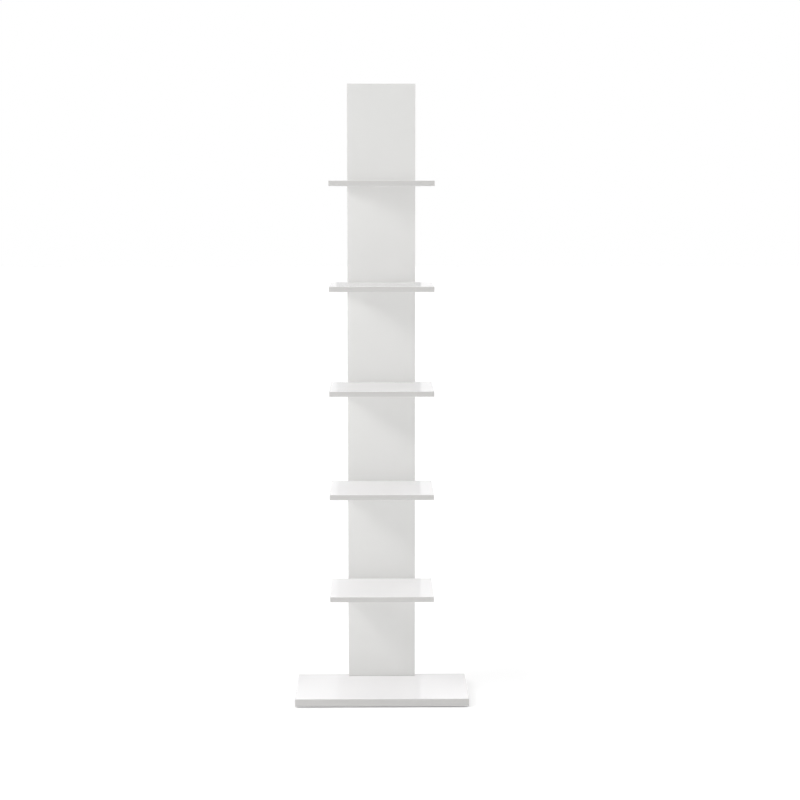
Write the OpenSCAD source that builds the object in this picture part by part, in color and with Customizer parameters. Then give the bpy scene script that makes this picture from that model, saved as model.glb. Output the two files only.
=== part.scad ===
// Tower wall shelf: one upright spine board on a base board, with five shelves
// butted against its front. The shelves are a little wider than the spine and reach
// as far forward as the base does, and the back stands flat against a wall.
// Frame: X to the right, the front faces -Y, the wall is at +Y, Z is up. The origin is
// on the floor, in the middle of the footprint. All sizes are in millimetres.

/* [Boards] */
// Width of the upright spine board
spine_w = 195; // [150:5:250]
// Thickness of the spine board
spine_t = 22; // [19:1:28]
// Width of each shelf
shelf_w = 290; // [260:5:400]
// Depth of each shelf, from the front of the spine
shelf_d = 250; // [150:5:320]
// Thickness of each shelf
shelf_t = 15; // [13:1:22]
// Width of the base board
base_w = 490; // [420:10:600]
// Thickness of the base board
base_t = 22; // [19:1:30]
// Radius of the eased board edges
edge_r = 1.2; // [0.6:0.2:2.4]

/* [Clear heights] */
// Free height between the base and the lowest shelf
bottom_bay_h = 277; // [180:1:360]
// Free height between one shelf and the next
bay_h = 274; // [180:1:360]
// Height of the spine above the top shelf
top_bay_h = 275; // [160:1:360]

/* [Shelf and base screws] */
// Length of a connecting screw
screw_l = 50; // [40:1:60]
// Diameter of the screw's head
screw_head_d = 10; // [9:0.5:11]
// Height of the straight rim of the head
screw_rim_h = 1; // [0.6:0.2:1.6]
// Diameter of the smooth collar under the head
screw_collar_d = 7; // [6.6:0.2:7.4]
// Length of the smooth collar
screw_collar_l = 10; // [6:1:12]
// Diameter over the thread
screw_thread_d = 6.4; // [5.6:0.2:6.4]
// Diameter of the plain point
screw_point_d = 4.8; // [4:0.2:5.2]
// Length of the plain point
screw_point_l = 6; // [4:1:9]
// Width across the flats of the socket
socket_w = 4; // [3:0.5:4.5]
// Depth of the socket
socket_l = 3.4; // [3:0.2:4.4]
// Distance of the outer screws from the middle
screw_reach = 64; // [50:1:66]
// Depth of the base screws' heads under the base
base_screw_sink = 0.6; // [0.2:0.2:2]

/* [Screw caps] */
// Diameter of the cap's disc
cap_d = 13; // [12:0.5:15]
// Thickness of the cap's disc
cap_t = 1.8; // [1.2:0.2:2.4]
// Chamfer round the cap's face
cap_soft = 0.4; // [0.2:0.1:0.6]
// Length of the stem that plugs into the socket
cap_stem_l = 2.4; // [1.6:0.2:2.8]

/* [Dowels] */
// Diameter of a dowel
dowel_d = 8; // [6:0.5:9]
// Length of a dowel
dowel_l = 30; // [26:1:36]
// Depth of a dowel's hole in the front of the spine and in the base
dowel_hole_l = 12; // [9:1:13]
// Distance of the dowels from the middle
dowel_reach = 32; // [20:1:38]
// Length of the chamfer at a dowel's ends
dowel_chamfer = 1; // [0.6:0.2:1.6]
// Number of flutes round a dowel
flute_count = 14; // [8:1:18]
// Radius of a flute
flute_r = 0.5; // [0.3:0.1:0.6]

/* [Wall fixing] */
// Length of a keyhole plate
plate_l = 64; // [60:1:80]
// Width of a keyhole plate
plate_w = 20; // [18:1:26]
// Thickness of a keyhole plate
plate_t = 1.6; // [1.2:0.2:2.4]
// Diameter of the round opening for the wall screw's head
keyhole_d = 10; // [9:0.5:12]
// Width of the slot for the wall screw's neck
keyslot_w = 5; // [4:0.5:6]
// Travel from the round opening to the end of the slot
keyslot_l = 12; // [10:1:14]
// Depth of the room behind the plate for the wall screw's head
hook_room = 6; // [5:0.5:9]
// Free width round the wall screw's head behind the plate
hook_spare = 1.5; // [1:0.5:2]
// Distance of each plate from the middle
plate_reach = 50; // [40:1:58]
// Height of the plates' middle below the top of the spine
plate_drop = 70; // [50:5:120]
// Diameter of the head of a plate screw
plate_screw_head_d = 6.4; // [6:0.2:7]
// Diameter of a plate screw
plate_screw_d = 3.4; // [3:0.2:3.6]
// Length of a plate screw
plate_screw_l = 14; // [12:1:16]
// Span of the cross recess in a plate screw
plate_recess_w = 3.6; // [3:0.2:4]
// Width of the arms of the cross recess
plate_recess_arm = 0.9; // [0.7:0.1:1.1]
// Depth of the cross recess
plate_recess_l = 1.4; // [1:0.2:1.6]

/* [Glides] */
// Diameter of a glide
glide_d = 24; // [20:1:30]
// Height of a glide
glide_h = 3; // [2.6:0.2:5]
// Chamfer round the foot of a glide
glide_soft = 0.8; // [0.4:0.2:1.2]
// Distance of a glide's middle from the edges of the base
glide_inset = 24; // [20:1:60]
// Diameter of the nail's head
nail_head_d = 5; // [4:0.5:6]
// Thickness of the nail's head
nail_head_t = 1; // [0.8:0.1:1.2]
// Diameter of the nail
nail_d = 2; // [1.6:0.2:2.4]
// Length of the nail under its head
nail_l = 14; // [10:1:16]
// Depth of the nail's head above the foot of the glide
nail_sink = 0.6; // [0.4:0.1:0.8]

/* [Clearances] */
// Clearance round screws, nails and plates
fit = 0.1; // [0.05:0.05:0.2]
// Clearance round a dowel
dowel_fit = 0.05; // [0.05:0.05:0.15]
// Clearance round a cap, which also lies this far below the surface
cap_fit = 0.2; // [0.1:0.1:0.3]
// Free depth beyond the end of a screw, nail or dowel
bore_spare = 1; // [0.5:0.5:2]

/* [Hidden] */
$fn = 64;

// The shelves are counted from the top down
shelf_count = 5;
base_d = shelf_d + spine_t;
front_y = -base_d / 2;
wall_y = base_d / 2;
spine_y = wall_y - spine_t;
spine_mid_y = wall_y - spine_t / 2;
base_top = glide_h + base_t;
spine_h = bottom_bay_h + (shelf_count - 1) * bay_h + top_bay_h + shelf_count * shelf_t;
spine_top = base_top + spine_h;
cut = 1;

screw_head_h = screw_rim_h + (screw_head_d - screw_collar_d) / 2;
cap_sink = cap_t + cap_fit;
dowel_far_l = dowel_l - dowel_hole_l + 2 * bore_spare;
plate_z = spine_top - plate_drop;
plate_screw_reach = plate_l / 2 - plate_w / 2;
plate_screw_head_h = (plate_screw_head_d - plate_screw_d) / 2;
keyhole_z = -keyslot_l / 2;
hook_w = keyhole_d + 2 * hook_spare;
nail_z = nail_head_t + nail_sink;

SHELVES = [1 : shelf_count];
SIDES = [-1, 1];
SCREW_X = [-screw_reach, screw_reach];
BASE_SCREW_X = [-screw_reach, 0, screw_reach];
DOWEL_X = [-dowel_reach, dowel_reach];
PLATE_X = [-plate_reach, plate_reach];

LACQUER = [0.95, 0.95, 0.94];
ZINC = [0.72, 0.73, 0.75];
BEECH = [0.80, 0.62, 0.42];
WHITE_PLASTIC = [0.92, 0.92, 0.91];
GLIDE_PLASTIC = [0.80, 0.80, 0.79];

// Underside of a shelf
function shelf_z(n) = base_top + bottom_bay_h + (shelf_count - n) * (bay_h + shelf_t);

// Rectangle with true arcs at the chosen corners: low left, low right, high right, high left
module eased_rect(w, h, r, corners) {
    spots = [[0, 0], [w, 0], [w, h], [0, h]];
    difference() {
        square([w, h]);
        for (i = [0 : 3])
            if (corners[i])
                translate(spots[i])
                    rotate(i * 90)
                        corner_waste(r);
    }
}

// What an arc takes off a low left corner
module corner_waste(r) {
    difference() {
        translate([-r, -r])
            square(2 * r);
        translate([r, r])
            circle(r);
    }
}

// Board with eased edges, centred on X, from y = 0 at the front and from z = 0 up.
// A board that butts against another one keeps the edges of its back end sharp.
module board(w, d, h, r, sharp_back = false) {
    back = !sharp_back;
    intersection() {
        translate([-w / 2, 0, 0])
            linear_extrude(h)
                eased_rect(w, d, r, [true, true, back, back]);
        translate([-w / 2, 0, 0])
            rotate([90, 0, 90])
                linear_extrude(w)
                    eased_rect(d, h, r, [true, back, back, true]);
        translate([-w / 2, d, 0])
            rotate([90, 0, 0])
                linear_extrude(d)
                    eased_rect(w, h, r, [true, true, true, true]);
    }
}

// Turns a piece drawn along -Z so that it goes in from the wall side, towards -Y
module from_wall() {
    rotate([-90, 0, 0])
        children();
}

// Turns a piece drawn along -Z so that it goes in from below, towards +Z
module from_below() {
    rotate([180, 0, 0])
        children();
}

// Turned body of a connecting screw, from the top of its head at z = 0 down.
// The same outline, grown by the clearance, is its bore.
module screw_body(grow, tail) {
    head = screw_head_d / 2 + grow;
    collar = screw_collar_d / 2 + grow;
    thread = screw_thread_d / 2 + grow;
    point = screw_point_d / 2 + grow;
    collar_end = screw_head_h + screw_collar_l;
    point_start = screw_l - screw_point_l;
    rotate_extrude()
        polygon([
            [0, 0],
            [head, 0],
            [head, -screw_rim_h],
            [collar, -screw_head_h],
            [collar, -collar_end],
            [thread, -collar_end],
            [thread, -point_start - tail],
            [point, -point_start - tail - (thread - point)],
            [point, -screw_l - tail],
            [0, -screw_l - tail]
        ]);
}

// Hexagonal prism across the flats
module hexagon(flats, h) {
    cylinder(d = flats / cos(30), h = h, $fn = 6);
}

// Connecting screw with its socket
module connecting_screw() {
    difference() {
        screw_body(0, 0);
        translate([0, 0, -socket_l])
            hexagon(socket_w, socket_l + cut);
    }
}

// Bore for a connecting screw, open above its head
module screw_bore(above) {
    screw_body(fit, bore_spare);
    cylinder(d = screw_head_d + 2 * fit, h = above + cut);
}

// Flush cap: a disc with a softened rim, and a stem that plugs into the screw's socket
module cap() {
    rotate_extrude()
        polygon([
            [0, 0],
            [cap_d / 2, 0],
            [cap_d / 2, cap_t - cap_soft],
            [cap_d / 2 - cap_soft, cap_t],
            [0, cap_t]
        ]);
    translate([0, 0, -cap_stem_l])
        hexagon(socket_w - 2 * fit, cap_stem_l + cap_soft);
}

// Fluted beech dowel, centred on its own length
module dowel() {
    r = dowel_d / 2;
    intersection() {
        translate([0, 0, -dowel_l / 2])
            linear_extrude(dowel_l)
                difference() {
                    circle(r);
                    for (i = [1 : flute_count])
                        rotate(i * 360 / flute_count)
                            translate([r, 0])
                                circle(flute_r, $fn = 16);
                }
        rotate_extrude()
            polygon([
                [0, -dowel_l / 2],
                [r - dowel_chamfer, -dowel_l / 2],
                [r + cut, -dowel_l / 2 + dowel_chamfer + cut],
                [r + cut, dowel_l / 2 - dowel_chamfer - cut],
                [r - dowel_chamfer, dowel_l / 2],
                [0, dowel_l / 2]
            ]);
    }
}

// Straight hole for a dowel, of the given depth below z = 0
module dowel_hole(depth) {
    translate([0, 0, -depth])
        cylinder(d = dowel_d + 2 * dowel_fit, h = depth + cut);
}

// Places its children at the shelf screws of one shelf, on the wall face of the spine
module at_shelf_screws(n) {
    for (x = SCREW_X)
        translate([x, wall_y, shelf_z(n) + shelf_t / 2])
            from_wall()
                children();
}

// Places its children at the dowels of one shelf, where the shelf meets the spine
module at_shelf_dowels(n) {
    for (x = DOWEL_X)
        translate([x, spine_y, shelf_z(n) + shelf_t / 2])
            from_wall()
                children();
}

// Places its children at the base screws, on the underside of the base
module at_base_screws() {
    for (x = BASE_SCREW_X)
        translate([x, spine_mid_y, glide_h])
            from_below()
                children();
}

// Places its children at the base dowels, where the spine stands on the base
module at_base_dowels() {
    for (x = DOWEL_X)
        translate([x, spine_mid_y, base_top])
            children();
}

// Places its children at the middle of one keyhole plate, with Z pointing out to the wall
module at_plate(x) {
    translate([x, wall_y, plate_z])
        rotate([-90, 0, 0])
            mirror([0, 1, 0])
                children();
}

// Places its children at the two screws of one keyhole plate
module at_plate_screws(x) {
    at_plate(x)
        for (side = SIDES)
            translate([0, side * plate_screw_reach, 0])
                children();
}

// Places its children at the four glides, on the floor
module at_glides() {
    for (x = SIDES, y = SIDES)
        translate([x * (base_w / 2 - glide_inset), y * (base_d / 2 - glide_inset), 0])
            children();
}

// Bar of the given width with round ends, along Y
module round_bar(w, from, to) {
    translate([-w / 2, from])
        square([w, to - from]);
    for (y = [from, to])
        translate([0, y])
            circle(d = w);
}

// Outline of a keyhole: a round opening with a slot above it
module keyhole_outline() {
    translate([0, keyhole_z])
        circle(d = keyhole_d);
    round_bar(keyslot_w, keyhole_z, keyhole_z + keyslot_l);
}

// Turned body of a plate screw, from the top of its head at z = 0 down
module plate_screw_body(grow, tail) {
    head = plate_screw_head_d / 2 + grow;
    shank = plate_screw_d / 2 + grow;
    tip = plate_screw_d / 4 + grow;
    point_l = plate_screw_d;
    rotate_extrude()
        polygon([
            [0, 0],
            [head, 0],
            [shank, -plate_screw_head_h],
            [shank, -plate_screw_l + point_l - tail],
            [tip, -plate_screw_l - tail],
            [0, -plate_screw_l - tail]
        ]);
}

// Plate screw with its cross recess
module plate_screw() {
    difference() {
        plate_screw_body(0, 0);
        for (turn = [0, 90])
            rotate(turn)
                translate([-plate_recess_w / 2, -plate_recess_arm / 2, -plate_recess_l])
                    cube([plate_recess_w, plate_recess_arm, plate_recess_l + cut]);
    }
}

// Steel keyhole plate, let in flush with the wall face of the spine
module wall_plate(x) {
    color(ZINC)
        difference() {
            at_plate(x)
                translate([0, 0, -plate_t])
                    linear_extrude(plate_t)
                        difference() {
                            round_bar(plate_w, -plate_screw_reach, plate_screw_reach);
                            keyhole_outline();
                        }
            at_plate_screws(x)
                plate_screw_body(fit, 0);
        }
}

// What one keyhole plate takes out of the spine: its seat, the room for the head
// of the wall screw behind it, and the holes of its own screws
module plate_seat(x) {
    at_plate(x) {
        translate([0, 0, -plate_t])
            linear_extrude(plate_t + cut)
                round_bar(plate_w + 2 * fit, -plate_screw_reach, plate_screw_reach);
        translate([0, 0, -plate_t - hook_room])
            linear_extrude(hook_room + cut)
                round_bar(hook_w, keyhole_z, keyhole_z + keyslot_l);
    }
    at_plate_screws(x)
        plate_screw_body(fit, bore_spare);
}

// Turned nail of a glide, from the underside of its head at z = 0 up
module nail_body(grow, tail) {
    head = nail_head_d / 2 + grow;
    shank = nail_d / 2 + grow;
    rotate_extrude()
        polygon([
            [0, -nail_head_t],
            [head, -nail_head_t],
            [head, 0],
            [shank, 0],
            [shank, nail_l - nail_d + tail],
            [0, nail_l + tail]
        ]);
}

module base_panel() {
    color(LACQUER)
        difference() {
            translate([0, front_y, glide_h])
                board(base_w, base_d, base_t, edge_r);
            at_base_screws()
                translate([0, 0, -base_screw_sink])
                    screw_bore(base_screw_sink);
            at_base_dowels()
                dowel_hole(dowel_hole_l);
            at_glides()
                translate([0, 0, nail_z])
                    nail_body(fit, bore_spare);
        }
}

module spine_panel() {
    color(LACQUER)
        difference() {
            translate([0, spine_y, base_top])
                board(spine_w, spine_t, spine_h, edge_r);
            for (n = SHELVES) {
                at_shelf_screws(n) {
                    translate([0, 0, -cap_sink])
                        screw_bore(cap_sink);
                    translate([0, 0, -cap_sink])
                        cylinder(d = cap_d + 2 * cap_fit, h = cap_sink + cut);
                }
                at_shelf_dowels(n)
                    mirror([0, 0, 1])
                        dowel_hole(dowel_hole_l);
            }
            at_base_screws()
                translate([0, 0, -base_screw_sink])
                    screw_bore(base_screw_sink);
            at_base_dowels()
                mirror([0, 0, 1])
                    dowel_hole(dowel_far_l);
            for (x = PLATE_X)
                plate_seat(x);
        }
}

module shelf(n) {
    color(LACQUER)
        difference() {
            translate([0, front_y, shelf_z(n)])
                board(shelf_w, shelf_d, shelf_t, edge_r, sharp_back = true);
            at_shelf_screws(n)
                translate([0, 0, -cap_sink])
                    screw_bore(cap_sink);
            at_shelf_dowels(n)
                dowel_hole(dowel_far_l);
        }
}

module shelf_screws(n) {
    color(ZINC)
        at_shelf_screws(n)
            translate([0, 0, -cap_sink])
                connecting_screw();
}

// The dowels stand off both ends of their holes by the same free depth
module shelf_dowels(n) {
    color(BEECH)
        at_shelf_dowels(n)
            translate([0, 0, dowel_hole_l - bore_spare - dowel_l / 2])
                dowel();
}

module screw_caps() {
    color(WHITE_PLASTIC)
        for (n = SHELVES)
            at_shelf_screws(n)
                translate([0, 0, -cap_sink])
                    cap();
}

module base_screws() {
    color(ZINC)
        at_base_screws()
            translate([0, 0, -base_screw_sink])
                connecting_screw();
}

module base_dowels() {
    color(BEECH)
        at_base_dowels()
            translate([0, 0, dowel_l / 2 - dowel_hole_l + bore_spare])
                dowel();
}

module wall_plate_screws() {
    color(ZINC)
        for (x = PLATE_X)
            at_plate_screws(x)
                plate_screw();
}

// A plastic disc with a softened foot and a countersunk seat for its nail
module base_glides() {
    color(GLIDE_PLASTIC)
        at_glides()
            difference() {
                rotate_extrude()
                    polygon([
                        [0, 0],
                        [glide_d / 2 - glide_soft, 0],
                        [glide_d / 2, glide_soft],
                        [glide_d / 2, glide_h],
                        [0, glide_h]
                    ]);
                translate([0, 0, nail_z])
                    nail_body(fit, bore_spare);
                translate([0, 0, -cut])
                    cylinder(d = nail_head_d + 2 * fit, h = nail_z + cut);
            }
}

module glide_nails() {
    color(ZINC)
        at_glides()
            translate([0, 0, nail_z])
                nail_body(0, 0);
}

base_panel();
spine_panel();
shelf(1);  // shelf_1
shelf(2);  // shelf_2
shelf(3);  // shelf_3
shelf(4);  // shelf_4
shelf(5);  // shelf_5
shelf_screws(1);  // shelf_1_screws
shelf_screws(2);  // shelf_2_screws
shelf_screws(3);  // shelf_3_screws
shelf_screws(4);  // shelf_4_screws
shelf_screws(5);  // shelf_5_screws
shelf_dowels(1);  // shelf_1_dowels
shelf_dowels(2);  // shelf_2_dowels
shelf_dowels(3);  // shelf_3_dowels
shelf_dowels(4);  // shelf_4_dowels
shelf_dowels(5);  // shelf_5_dowels
screw_caps();
base_screws();
base_dowels();
wall_plate(-plate_reach);  // wall_plate_left
wall_plate(plate_reach);  // wall_plate_right
wall_plate_screws();
base_glides();
glide_nails();
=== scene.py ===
import math

import bpy
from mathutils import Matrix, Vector


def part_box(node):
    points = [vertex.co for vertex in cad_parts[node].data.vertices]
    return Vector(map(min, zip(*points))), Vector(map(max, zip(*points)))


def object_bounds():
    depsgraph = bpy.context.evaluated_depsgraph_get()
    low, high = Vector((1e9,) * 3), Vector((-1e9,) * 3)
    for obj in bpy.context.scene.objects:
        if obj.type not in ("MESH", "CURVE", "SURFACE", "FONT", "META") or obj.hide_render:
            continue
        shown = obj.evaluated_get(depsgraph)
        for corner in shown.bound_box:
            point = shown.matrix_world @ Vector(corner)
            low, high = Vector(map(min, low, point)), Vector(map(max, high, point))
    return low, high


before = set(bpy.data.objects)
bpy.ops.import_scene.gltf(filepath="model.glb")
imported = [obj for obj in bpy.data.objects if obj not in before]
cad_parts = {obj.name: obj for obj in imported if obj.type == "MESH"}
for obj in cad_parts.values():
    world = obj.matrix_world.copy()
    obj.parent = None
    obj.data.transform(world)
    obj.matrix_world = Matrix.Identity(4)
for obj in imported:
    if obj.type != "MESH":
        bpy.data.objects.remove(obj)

cad_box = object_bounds()

# Camera, in metres and degrees. It stands about where the photograph's camera stood, and
# tilts down so that the shelf is in the middle of a picture with no shift.
CAMERA_AT = (-0.020, -5.201, 1.447)
CAMERA_YAW = 0.796
CAMERA_TILT = -6.485
SENSOR = 36.0
LENS = 83.08

# Softbox: place and width in metres, and power in watts. It is turned to the middle of
# the shelf and throws the slanting shadows under the shelves.
BOXES = {
    "key_left": ((-1.95, -1.90, 2.17), 0.55, 15.0),
}
# Suns: bearing from the front towards the right, height above the floor and width of
# the soft source in degrees, and strength
SUNS = {
    "left": (-85.0, 15.0, 50.0, 0.84),
    "right": (85.0, 15.0, 50.0, 0.48),
    "left_top": (-70.0, 50.0, 50.0, 1.05),
    "right_top": (70.0, 50.0, 50.0, 0.86),
    "back_top": (180.0, 62.0, 50.0, 0.74),
    "back": (165.0, 10.0, 50.0, 0.42),
}
AMBIENT = 0.19
BACKGROUND = 1.0

# Plain colours of the stage
WHITE = (1.0, 1.0, 1.0)
BLACK = (0.0, 0.0, 0.0)

# Floor: the lift brings what the camera sees of it up to white in full light
FLOOR_SIZE = 60.0
FLOOR_DROP = 0.0002
FLOOR_TONE = (0.88, 0.88, 0.88)
FLOOR_ROUGHNESS = 0.9
FLOOR_LIFT = 0.20

# White wall behind the shelf, a glowing sheet which shows only in the gloss of the lacquer as
# a painted reflection. The spine's shadows on both sides of it and the darker foot are painted
# shade in its glow
WALL_WIDTH = 0.49
WALL_GAP = 0.0005
WALL_LIGHT = 0.98
WALL_SHADE_LEFT_TONE = 0.75
WALL_SHADE_RIGHT_TONE = 0.66
WALL_SHADE_LEFT = 0.032
WALL_SHADE_RIGHT = 0.017
WALL_SHADE_SOFT = 0.003
WALL_FOOT_SHADE = 0.82
WALL_FOOT_HEIGHT = 0.065

# Between these two values lies most of what a noise texture gives
NOISE_LOW = 0.3
NOISE_HIGH = 0.7

# Scales from here on say about how often a pattern repeats in a metre, and heights are in
# metres. Lacquer: tones of the boards' faces, the spine's faces and all rims. The spine is
# the same white lacquer, and its darker tone is painted shade
FACE_TONE = (0.930, 0.921, 0.925)
SPINE_SHADED_TONE = (0.868, 0.868, 0.851)
RIM_TONE = (0.697, 0.688, 0.675)
LACQUER_IOR = 1.5
LACQUER_OFFSET = (1.7, 2.3, 0.9)
CLOUD_SCALE = 5.0
CLOUD_DARKEST = 0.985
SPECK_SCALE = 900.0
SPECK_LOW = 0.25
SPECK_HIGH = 0.75
SPECK_DARKEST = 0.994
SMEAR_SCALE = 18.0
SMEAR_SMOOTH = 0.030
SMEAR_DULL = 0.048
PEEL_SCALE = 160.0
PEEL_HEIGHT = 0.0000015
GRAIN_SCALE = 2200.0
GRAIN_HEIGHT = 0.000006

# Rim of a board: how squarely a surface faces along the board's thin side where the rim
# ends and where the face begins, and what the rim adds to roughness and grain
RIM_END = 0.35
FACE_START = 0.75
RIM_ROUGHNESS = 0.18
RIM_GRAIN = 0.6

# Bare fibreboard in the bores and routed seats. A surface further inside a board than
# the skin's depth is the wall of one of them.
SKIN_DEPTH = 0.0014
RAW_BOARD = (0.36, 0.245, 0.14)
RAW_BOARD_DARK = (0.25, 0.16, 0.085)
FIBRE_SCALE = 1600.0
FIBRE_STRETCH = (1.0, 1.0, 3.0)
RAW_ROUGHNESS = 0.85
RAW_GRAIN = 12.0

# Zinc-plated steel: drawn lines, and the patches of the plating
ZINC_TONE = (0.58, 0.59, 0.61)
PLATE_TONE = (0.50, 0.51, 0.53)
LINE_STRETCH = 0.04
LINE_SCALE = 2600.0
LINE_SHADE = 0.03
LINE_ROUGHNESS = 0.06
LINE_HEIGHT = 0.000008
PATCH_SCALE = 260.0
PATCH_DARKEST = 0.92
PATCH_SMOOTH = 0.26
PATCH_DULL = 0.36

# Beech
BEECH_DARK = (0.50, 0.29, 0.13)
BEECH_LIGHT = (0.62, 0.40, 0.20)
BEECH_FLECK = (0.30, 0.15, 0.06)
BEECH_STRETCH = 0.08
BEECH_SCALE = 900.0
BEECH_SMOOTH = 0.55
BEECH_DULL = 0.7
BEECH_HEIGHT = 0.00003
FLECK_SCALE = 3200.0
FLECK_START = 0.66
FLECK_FULL = 0.74

# Moulded plastic, and the caps and glides made of it
PLASTIC_IOR = 1.46
FLOW_SCALE = 60.0
FLOW_DARKEST = 0.975
FLOW_ROUGHNESS = 0.04
PLASTIC_GRAIN_SHADE = 0.01
CAP_TONE = (0.74, 0.74, 0.72)
CAP_ROUGHNESS = 0.38
CAP_GRAIN_SCALE = 2400.0
CAP_GRAIN_HEIGHT = 0.000012
GLIDE_TONE = (0.52, 0.52, 0.51)
GLIDE_ROUGHNESS = 0.55
GLIDE_GRAIN_SCALE = 1500.0
GLIDE_GRAIN_HEIGHT = 0.00003

# Axes of the frame, Y and Z
FRONT_TO_BACK = 1
UPRIGHT = 2


class Graph:
    """The node graph of one material, with short calls for making and joining nodes."""

    def __init__(self, name):
        self.material = bpy.data.materials.new(name)
        self.material.use_nodes = True
        self.nodes = self.material.node_tree.nodes
        self.links = self.material.node_tree.links
        self.shader = self.nodes["Principled BSDF"]

    def put(self, socket, value):
        """Sets a socket to a number or colour, or joins it to another node's output."""
        if isinstance(value, bpy.types.NodeSocket):
            self.links.new(value, socket)
        else:
            socket.default_value = value

    def add(self, kind, inputs, **settings):
        node = self.nodes.new(kind)
        for key, value in settings.items():
            setattr(node, key, value)
        for key, value in inputs.items():
            self.put(node.inputs[key], value)
        return node

    def math(self, operation, a, b=0.0):
        return self.add("ShaderNodeMath", {0: a, 1: b}, operation=operation).outputs[0]

    def spread(self, value, low, high, start=0.0, end=1.0):
        """Maps low..high of a value to start..end, and holds it there beyond."""
        inputs = {"Value": value, "From Min": low, "From Max": high, "To Min": start, "To Max": end}
        return self.add("ShaderNodeMapRange", inputs, clamp=True).outputs["Result"]

    def vary(self, noise, start=0.0, end=1.0):
        """Maps a noise to start..end."""
        return self.spread(noise, NOISE_LOW, NOISE_HIGH, start, end)

    def either(self, mask, outside, within):
        """One number where a mask is 0, and another where it is 1."""
        kept = self.math("MULTIPLY", outside, self.math("SUBTRACT", 1.0, mask))
        return self.math("ADD", kept, self.math("MULTIPLY", mask, within))

    def mix(self, factor, a, b):
        """A mix of two colours. They go in at the node's sockets 6 and 7, and it comes out at 2."""
        node = self.nodes.new("ShaderNodeMix")
        node.data_type = "RGBA"
        for index, value in {0: factor, 6: a, 7: b}.items():
            self.put(node.inputs[index], value)
        return node.outputs[2]

    def scaled(self, colour, factor):
        """A colour times a number."""
        inputs = {0: colour, "Scale": factor}
        return self.add("ShaderNodeVectorMath", inputs, operation="SCALE").outputs[0]

    def split(self, vector):
        """The X, Y and Z of a vector."""
        return self.add("ShaderNodeSeparateXYZ", {"Vector": vector}).outputs

    def place(self, shift=(0.0, 0.0, 0.0), stretch=(1.0, 1.0, 1.0)):
        """Object coordinates in metres, shifted and stretched."""
        source = self.add("ShaderNodeTexCoord", {}).outputs["Object"]
        inputs = {"Vector": source, "Location": shift, "Scale": stretch}
        return self.add("ShaderNodeMapping", inputs).outputs["Vector"]

    def noise(self, place, scale, detail=2.0, roughness=0.5):
        inputs = {"Vector": place, "Scale": scale, "Detail": detail, "Roughness": roughness}
        return self.add("ShaderNodeTexNoise", inputs).outputs["Fac"]

    def bump(self, height, distance, normal=None):
        """A normal tilted by a height, on top of another bump where one is given."""
        inputs = {"Height": height, "Distance": distance, "Strength": 1.0}
        if normal is not None:
            inputs["Normal"] = normal
        return self.add("ShaderNodeBump", inputs).outputs["Normal"]

    def finish(self, **inputs):
        """Sets the shader's own inputs, named with underscores for spaces."""
        for key, value in inputs.items():
            self.put(self.shader.inputs[key.replace("_", " ")], value)
        return self.material


def rgba(colour):
    return (*colour, 1.0)


def inside_board(g, low, high):
    """1 on the walls of a board's bores and routed seats, and 0 on its skin."""
    point = g.split(g.place())
    within = []
    for axis in range(3):
        middle = (low[axis] + high[axis]) / 2
        reach = (high[axis] - low[axis]) / 2 - SKIN_DEPTH
        away = g.math("ABSOLUTE", g.math("SUBTRACT", point[axis], middle))
        within.append(g.math("LESS_THAN", away, reach))
    return g.math("MULTIPLY", g.math("MULTIPLY", within[0], within[1]), within[2])


def raw_board(g, seed):
    """The brown of bare fibreboard, with its fibres."""
    place = g.place(shift=(seed, seed, seed), stretch=FIBRE_STRETCH)
    fibre = g.noise(place, FIBRE_SCALE, detail=4.0, roughness=0.65)
    return g.mix(g.vary(fibre), rgba(RAW_BOARD), rgba(RAW_BOARD_DARK))


def lacquer(name, low, high, thin_axis, face_tone, seed):
    """White sprayed lacquer on fibreboard. The rim of a board is a little greyer and less
    smooth than its faces, and the walls of its bores are bare fibreboard."""
    g = Graph(name)
    place = g.place(shift=[seed * offset for offset in LACQUER_OFFSET])
    inside = inside_board(g, low, high)
    facing = g.split(g.add("ShaderNodeNewGeometry", {}).outputs["Normal"])
    rim = g.spread(g.math("ABSOLUTE", facing[thin_axis]), RIM_END, FACE_START, 1.0, 0.0)

    cloud = g.vary(g.noise(place, CLOUD_SCALE, detail=3.0), CLOUD_DARKEST, 1.0)
    speck_noise = g.noise(place, SPECK_SCALE, detail=1.0)
    speck = g.spread(speck_noise, SPECK_LOW, SPECK_HIGH, SPECK_DARKEST, 1.0)
    tone = g.mix(rim, rgba(face_tone), rgba(RIM_TONE))
    white = g.scaled(tone, g.math("MULTIPLY", cloud, speck))
    colour = g.mix(inside, white, raw_board(g, seed))

    smear_noise = g.noise(place, SMEAR_SCALE, detail=3.0, roughness=0.6)
    smear = g.vary(smear_noise, SMEAR_SMOOTH, SMEAR_DULL)
    skin_rough = g.math("ADD", smear, g.math("MULTIPLY", rim, RIM_ROUGHNESS))
    rough = g.either(inside, skin_rough, RAW_ROUGHNESS)

    peel = g.bump(g.noise(place, PEEL_SCALE, roughness=0.4), PEEL_HEIGHT)
    rim_grain = g.math("MULTIPLY", rim, RIM_GRAIN)
    grain_share = g.math("ADD", rim_grain, g.math("MULTIPLY", inside, RAW_GRAIN))
    grain = g.math("MULTIPLY", g.noise(place, GRAIN_SCALE), grain_share)
    normal = g.bump(grain, GRAIN_HEIGHT, normal=peel)
    return g.finish(Base_Color=colour, Roughness=rough, Normal=normal, IOR=LACQUER_IOR)


def stretched(axis, factor):
    """Even scales, but for one axis, along which the pattern is drawn out."""
    stretch = [1.0, 1.0, 1.0]
    stretch[axis] = factor
    return stretch


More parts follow.
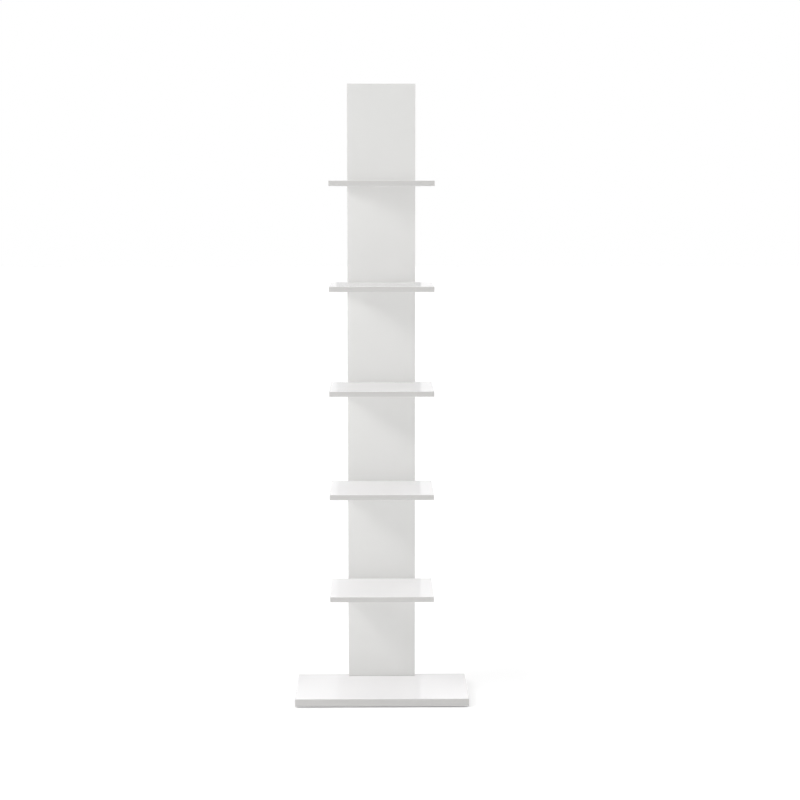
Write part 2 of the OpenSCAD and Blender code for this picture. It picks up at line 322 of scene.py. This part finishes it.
def metal(name, tone, along, seed):
    """Zinc-plated steel: drawn lines along one axis over a faint mottle of the plating."""
    g = Graph(name)
    line_place = g.place(shift=(seed, seed, seed), stretch=stretched(along, LINE_STRETCH))
    lines = g.noise(line_place, LINE_SCALE, detail=3.0, roughness=0.6)
    cells = {"Vector": g.place(shift=(seed, 0.0, seed)), "Scale": PATCH_SCALE}
    spangle = g.add("ShaderNodeTexVoronoi", cells).outputs["Color"]
    patch = g.add("ShaderNodeSeparateColor", {"Color": spangle}).outputs["Red"]
    patch_shade = g.spread(patch, 0.0, 1.0, PATCH_DARKEST, 1.0)
    shade = g.math("ADD", patch_shade, g.vary(lines, -LINE_SHADE, LINE_SHADE))
    patch_rough = g.spread(patch, 0.0, 1.0, PATCH_SMOOTH, PATCH_DULL)
    rough = g.math("ADD", patch_rough, g.vary(lines, 0.0, LINE_ROUGHNESS))
    normal = g.bump(lines, LINE_HEIGHT)
    return g.finish(Base_Color=g.scaled(tone, shade), Metallic=1.0, Roughness=rough, Normal=normal)


def beech(name, along, seed):
    """Bare beech, with its grain along one axis and short dark flecks."""
    g = Graph(name)
    place = g.place(shift=(seed, seed, seed), stretch=stretched(along, BEECH_STRETCH))
    grain = g.noise(place, BEECH_SCALE, detail=4.0, roughness=0.6)
    fleck = g.spread(g.noise(place, FLECK_SCALE, detail=1.0), FLECK_START, FLECK_FULL)
    wood = g.mix(g.vary(grain), rgba(BEECH_DARK), rgba(BEECH_LIGHT))
    colour = g.mix(fleck, wood, rgba(BEECH_FLECK))
    rough = g.vary(grain, BEECH_SMOOTH, BEECH_DULL)
    normal = g.bump(g.math("SUBTRACT", grain, fleck), BEECH_HEIGHT)
    return g.finish(Base_Color=colour, Roughness=rough, Normal=normal)


def plastic(name, tone, roughness, grain_scale, grain_height, seed):
    """Moulded plastic with a fine eroded grain and a slight unevenness of its gloss."""
    g = Graph(name)
    place = g.place(shift=(seed, seed * 2.0, seed * 3.0))
    grain = g.noise(place, grain_scale, detail=3.0, roughness=0.6)
    flow = g.noise(place, FLOW_SCALE)
    grain_shade = g.vary(grain, -PLASTIC_GRAIN_SHADE, PLASTIC_GRAIN_SHADE)
    shade = g.math("ADD", g.vary(flow, FLOW_DARKEST, 1.0), grain_shade)
    rough = g.vary(flow, roughness - FLOW_ROUGHNESS, roughness + FLOW_ROUGHNESS)
    normal = g.bump(grain, grain_height)
    return g.finish(Base_Color=g.scaled(tone, shade), Roughness=rough, Normal=normal, IOR=PLASTIC_IOR)


def dress(node, material):
    """Gives a CAD node a new material."""
    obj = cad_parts[node]
    obj.data.materials.clear()
    obj.data.materials.append(material)


def dress_boards(shelves):
    """The spine is thin from front to back, and the other boards are thin in height."""
    for seed, node in enumerate(["base_panel", *shelves, "spine_panel"], 1):
        low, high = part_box(node)
        if node == "spine_panel":
            # The spine gets a darker tone of the same lacquer, as painted shade
            thin_axis, tone = FRONT_TO_BACK, SPINE_SHADED_TONE
        else:
            thin_axis, tone = UPRIGHT, FACE_TONE
        dress(node, lacquer(f"lacquer_{node}", low, high, thin_axis, tone, seed))


def dress_hardware(shelves):
    """Each material's seed shifts its pattern to another place."""
    across = metal("zinc_across", ZINC_TONE, FRONT_TO_BACK, seed=3.0)
    upright = metal("zinc_upright", ZINC_TONE, UPRIGHT, seed=4.0)
    beech_across = beech("beech_across", FRONT_TO_BACK, seed=5.0)
    for shelf in shelves:
        dress(f"{shelf}_screws", across)
        dress(f"{shelf}_dowels", beech_across)
    dress("wall_plate_screws", across)
    dress("base_screws", upright)
    dress("glide_nails", upright)
    dress("base_dowels", beech("beech_upright", UPRIGHT, seed=6.0))
    plate = metal("plate_steel", PLATE_TONE, UPRIGHT, seed=7.0)
    dress("wall_plate_left", plate)
    dress("wall_plate_right", plate)
    caps = plastic("cap_plastic", CAP_TONE, CAP_ROUGHNESS, CAP_GRAIN_SCALE, CAP_GRAIN_HEIGHT, seed=8.0)
    dress("screw_caps", caps)
    glides = plastic("glide_plastic", GLIDE_TONE, GLIDE_ROUGHNESS, GLIDE_GRAIN_SCALE,
                     GLIDE_GRAIN_HEIGHT, seed=9.0)
    dress("base_glides", glides)


def seen_directly(tree):
    """1 for what the camera sees, also through a mirror or glass, and 0 for light on its
    way to a surface."""
    path = tree.nodes.new("ShaderNodeLightPath")
    seen = path.outputs["Is Camera Ray"]
    for name in ("Is Glossy Ray", "Is Transmission Ray"):
        join = tree.nodes.new("ShaderNodeMath")
        join.operation = "MAXIMUM"
        tree.links.new(seen, join.inputs[0])
        tree.links.new(path.outputs[name], join.inputs[1])
        seen = join.outputs[0]
    return seen


def make_world():
    """Even soft light from all round, in front of a white background."""
    world = bpy.data.worlds.new("studio")
    world.use_nodes = True
    tree = world.node_tree
    background = tree.nodes["Background"]
    background.inputs["Color"].default_value = rgba(WHITE)
    strength = tree.nodes.new("ShaderNodeMix")
    tree.links.new(seen_directly(tree), strength.inputs[0])
    strength.inputs[2].default_value = AMBIENT
    strength.inputs[3].default_value = BACKGROUND
    tree.links.new(strength.outputs[0], background.inputs["Strength"])
    bpy.context.scene.world = world


def stage_sheet(name, points, faces, material):
    """A flat piece of the stage. Its glow is for what is seen, not for lighting the
    object, so Cycles doesn't sample it as a lamp."""
    material.cycles.emission_sampling = "NONE"
    mesh = bpy.data.meshes.new(name)
    mesh.from_pydata(points, [], faces)
    mesh.materials.append(material)
    sheet = bpy.data.objects.new(name, mesh)
    bpy.context.scene.collection.objects.link(sheet)
    return sheet


def glowing(g, tone, roughness, strength):
    """A dull surface of one tone that glows white."""
    return g.finish(Base_Color=rgba(tone), Roughness=roughness, Specular_IOR_Level=0.0,
                    Emission_Color=rgba(WHITE), Emission_Strength=strength)


def make_floor():
    """Pale floor that keeps the shelf's shadow and is white in full light."""
    half = FLOOR_SIZE / 2
    corners = [(-half, -half), (half, -half), (half, half), (-half, half)]
    g = Graph("pale_floor")
    lift = g.math("MULTIPLY", seen_directly(g.material.node_tree), FLOOR_LIFT)
    material = glowing(g, FLOOR_TONE, FLOOR_ROUGHNESS, lift)
    stage_sheet("floor", [(x, y, -FLOOR_DROP) for x, y in corners], [(0, 1, 2, 3)], material)


def wall_glow(g, low, high):
    """The glow of the wall, less the spine's shadows painted on it and the painted shade at its foot.
    """
    place = g.split(g.place())
    left, right = low.x - WALL_SHADE_LEFT, high.x + WALL_SHADE_RIGHT
    soft = WALL_SHADE_SOFT
    shade_left = g.spread(place["X"], left - soft, left + soft, 1.0, WALL_SHADE_LEFT_TONE)
    shade_right = g.spread(place["X"], right - soft, right + soft, WALL_SHADE_RIGHT_TONE, 1.0)
    shade = g.either(g.math("LESS_THAN", place["X"], 0.0), shade_right, shade_left)
    foot = g.spread(place["Z"], low.z, low.z + WALL_FOOT_HEIGHT, WALL_FOOT_SHADE, 1.0)
    return g.math("MULTIPLY", g.math("MULTIPLY", shade, foot), WALL_LIGHT)


def make_wall():
    """The wall stands only beside the spine and above the base, so that the back of the
    shelf has free light, and no ray but one of gloss meets it."""
    low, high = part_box("spine_panel")
    y = high.y + WALL_GAP
    points, faces = [], []
    for left, right in ((-WALL_WIDTH / 2, low.x), (high.x, WALL_WIDTH / 2)):
        start = len(points)
        points += [(left, y, low.z), (right, y, low.z), (right, y, high.z), (left, y, high.z)]
        faces.append(tuple(range(start, start + 4)))
    g = Graph("wall_painted_reflection")
    # Its glow, with the painted shadows and painted shade at the foot, gives the lacquer a painted
    # reflection
    material = glowing(g, BLACK, 1.0, wall_glow(g, low, high))
    wall = stage_sheet("wall", points, faces, material)
    wall.visible_camera = False
    wall.visible_diffuse = False
    wall.visible_transmission = False
    wall.visible_shadow = False


def place_lamp(name, light, towards, at=(0.0, 0.0, 0.0)):
    """Puts a lamp at a place. It shines against the given direction, which points from the
    object to the lamp, and it doesn't show as a spot in the gloss."""
    lamp = bpy.data.objects.new(name, light)
    lamp.location = at
    lamp.rotation_euler = towards.to_track_quat("Z", "Y").to_euler()
    lamp.visible_glossy = False
    bpy.context.scene.collection.objects.link(lamp)


def make_boxes():
    middle = (Vector(cad_box[0]) + Vector(cad_box[1])) / 2
    for name, (at, size, power) in BOXES.items():
        light = bpy.data.lights.new(name, "AREA")
        light.shape = "SQUARE"
        light.size = size
        light.energy = power
        place_lamp(name, light, Vector(at) - middle, at)


def make_suns():
    for name, (bearing, height, width, strength) in SUNS.items():
        light = bpy.data.lights.new(name, "SUN")
        light.angle = math.radians(width)
        light.energy = strength
        bearing, height = math.radians(bearing), math.radians(height)
        towards = Vector((math.sin(bearing) * math.cos(height),
                          -math.cos(bearing) * math.cos(height),
                          math.sin(height)))
        place_lamp(name, light, towards)


def make_camera():
    data = bpy.data.cameras.new("camera")
    data.sensor_width = SENSOR
    data.lens = LENS
    camera = bpy.data.objects.new("camera", data)
    camera.location = CAMERA_AT
    yaw, tilt = math.radians(CAMERA_YAW), math.radians(CAMERA_TILT)
    ahead = Vector((math.sin(yaw) * math.cos(tilt), math.cos(yaw) * math.cos(tilt), math.sin(tilt)))
    camera.rotation_euler = ahead.to_track_quat("-Z", "Y").to_euler()
    bpy.context.scene.collection.objects.link(camera)
    bpy.context.scene.camera = camera


shelf_nodes = [f"shelf_{n}" for n in range(1, 6)]
dress_boards(shelf_nodes)
dress_hardware(shelf_nodes)
make_world()
make_floor()
make_wall()
make_boxes()
make_suns()
make_camera()
bpy.context.scene.view_settings.view_transform = "Standard"
